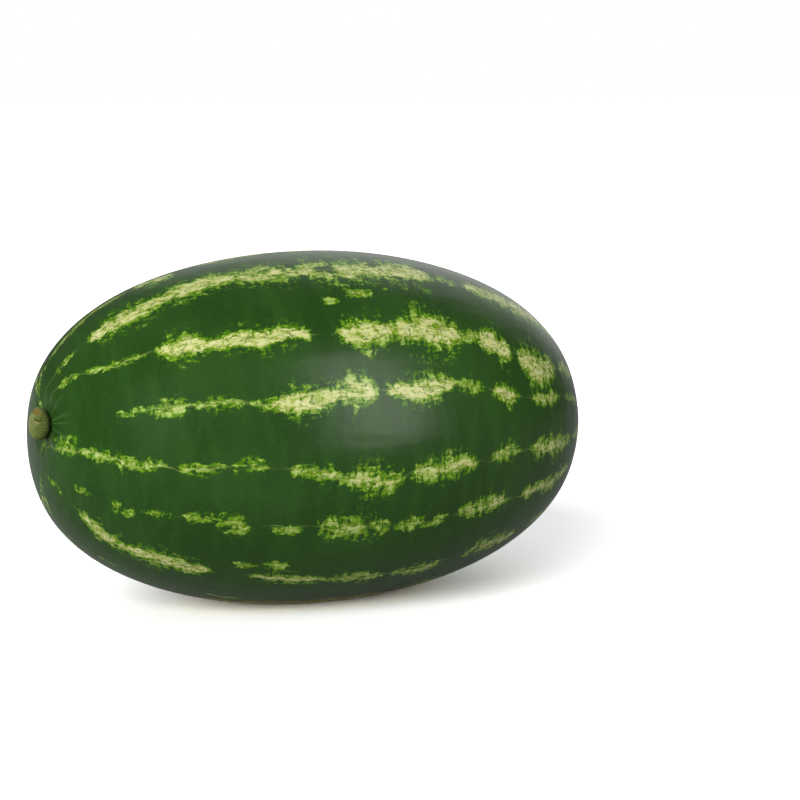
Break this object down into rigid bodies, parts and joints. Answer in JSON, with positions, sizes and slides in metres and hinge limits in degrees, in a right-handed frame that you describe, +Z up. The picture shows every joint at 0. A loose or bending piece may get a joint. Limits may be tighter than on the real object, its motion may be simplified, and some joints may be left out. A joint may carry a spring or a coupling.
{
  "type": "watermelon",
  "caption": "Whole oblong watermelon as picked, lying on its side, with dark green rind, broken pale stripes and a short dry stem stub.",
  "frame": {"origin": "centre of the footprint of the lying fruit, on the plane that it rests on", "axes": "+X along the fruit from the stem end to the blossom end, +Z up, +Y to the fruit's far side"},
  "size_m": [0.339, 0.21, 0.209],
  "materials": {
    "rind": "waxy, semi-gloss, dark green with broken lengthwise rows of pale yellow-green mottling",
    "dry_stem": "dry, matt, olive green going brown at the broken end"
  },
  "bodies": {
    "root": {"fruit": "rind", "stem_stub": "dry_stem"}
  },
  "joints": []
}
